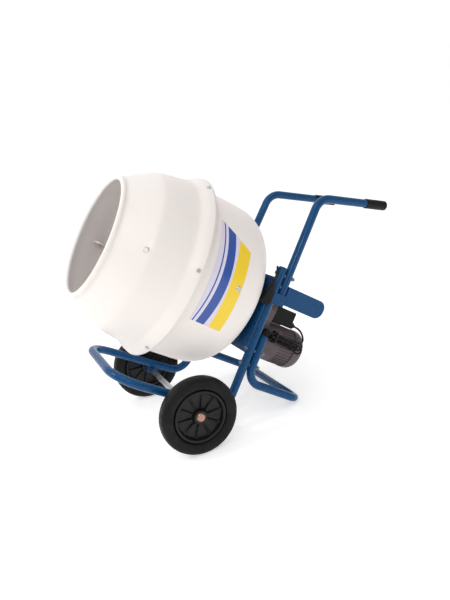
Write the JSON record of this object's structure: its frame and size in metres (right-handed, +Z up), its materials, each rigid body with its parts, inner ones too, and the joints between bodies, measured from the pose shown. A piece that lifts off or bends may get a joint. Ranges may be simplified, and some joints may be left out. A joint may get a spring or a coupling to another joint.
{
  "type": "concrete mixer",
  "caption": "Wheelbarrow concrete mixer: moulded tilting drum on a geared electric drive, carried by a bent-tube frame with two wheels, a rear stand and push handles.",
  "frame": {"origin": "centre of the footprint on the floor", "axes": "+X rearwards to the push handles, +Y to the right of an operator who stands at the handles and faces the drum, +Z up; the drum mouth points to -X and up"},
  "size_m": [1.1196, 0.618, 0.8592],
  "materials": {
    "frame_blue": "glossy enamel over steel",
    "drum_white": "moulded, semi-gloss",
    "tyre_black": "matt rubber",
    "rim_black": "moulded, satin",
    "grip_black": "satin rubber",
    "seal_rubber": "soft black rubber",
    "zinc": "bright zinc plate",
    "cap_bronze": "yellow-passivated, dull",
    "steel": "machined",
    "case_alu": "die-cast",
    "motor_alu": "die-cast, painted grey",
    "lamination": "laminated core",
    "box_black": "moulded, fine grain",
    "cord_black": "satin sheath",
    "green": "moulded",
    "red": "moulded",
    "pale_plastic": "moulded",
    "fan_plastic": "moulded",
    "tube_cap": "moulded"
  },
  "bodies": {
    "frame": {"main_frame": "frame_blue", "rear_stand": "frame_blue", "tube_caps": "tube_cap", "axle": "steel", "axle_brackets": "frame_blue", "handle_tube_left": "frame_blue", "handle_tube_right": "frame_blue", "handle_grip_left": "grip_black", "handle_grip_right": "grip_black", "axle_caps": "cap_bronze", "axle_washers": "zinc", "frame_bolts": "zinc", "frame_nuts": "zinc", "tube_spacers": "zinc", "handle_sockets": "frame_blue", "drive_plate": "frame_blue", "motor_guard": "frame_blue", "gearbox_case": "case_alu", "gearbox_cover": "case_alu", "gearbox_bolts": "zinc", "ball_bearings": "steel", "shaft_seal": "seal_rubber", "motor_bell": "motor_alu", "motor_housing": "motor_alu", "motor_fan_cover": "motor_alu", "motor_tail_shield": "motor_alu", "stator": "lamination", "motor_bolts": "zinc", "switch_box": "box_black", "switch_cover": "box_black", "switch_screws": "zinc", "contact_block": "pale_plastic", "run_capacitor": "pale_plastic", "cable_gland": "cord_black", "lead_loop": "cord_black", "lead_hank": "cord_black", "lead_end": "cord_black", "mains_plug": "cord_black"},
    "drum": {"drum_cone": "drum_white", "drum_bowl": "drum_white", "drum_seal": "seal_rubber", "band_bolts": "zinc", "mixing_paddle_1": "drum_white", "mixing_paddle_2": "drum_white", "paddle_bolts": "zinc", "hub_disc": "steel", "hub_bolts": "zinc", "drum_shaft": "steel", "drum_gear": "steel"},
    "layshaft": {"layshaft": "steel", "layshaft_gear": "steel"},
    "rotor": {"rotor_shaft": "steel", "rotor_core": "lamination", "motor_fan": "fan_plastic"},
    "wheel_left": {"wheel_rim_left": "rim_black", "tyre_left": "tyre_black"},
    "wheel_right": {"wheel_rim_right": "rim_black", "tyre_right": "tyre_black"},
    "start_button": {"start_button": "green"},
    "stop_button": {"stop_button": "red"}
  },
  "joints": [
    {"name": "drum_spin", "type": "hinge", "parent": "frame", "child": "drum", "pos_m": [0.0251, 0, 0.36233], "axis": [0.8141, 0, -0.5807], "continuous": true},
    {"name": "layshaft_spin", "type": "hinge", "parent": "frame", "child": "layshaft", "pos_m": [-0.00969, 0.03993, 0.31355], "axis": [0.8141, 0, -0.5807], "continuous": true},
    {"name": "rotor_spin", "type": "hinge", "parent": "frame", "child": "rotor", "pos_m": [-0.03761, 0, 0.2744], "axis": [0.8141, 0, -0.5807], "continuous": true},
    {"name": "wheel_left_spin", "type": "hinge", "parent": "frame", "child": "wheel_left", "pos_m": [-0.29537, -0.262, 0.125], "axis": [0, 1, 0], "continuous": true},
    {"name": "wheel_right_spin", "type": "hinge", "parent": "frame", "child": "wheel_right", "pos_m": [-0.29537, 0.262, 0.125], "axis": [0, 1, 0], "continuous": true},
    {"name": "start_press", "type": "slide", "parent": "frame", "child": "start_button", "axis": [-0.8141, 0, 0.5807], "range_m": [0, 0.003], "stiffness_N_per_m": 400},
    {"name": "stop_press", "type": "slide", "parent": "frame", "child": "stop_button", "axis": [-0.8141, 0, 0.5807], "range_m": [0, 0.003], "stiffness_N_per_m": 400}
  ],
  "couplings": [
    {"joint": "layshaft_spin", "follows": "drum_spin", "ratio": -5},
    {"joint": "rotor_spin", "follows": "drum_spin", "ratio": 45}
  ]
}
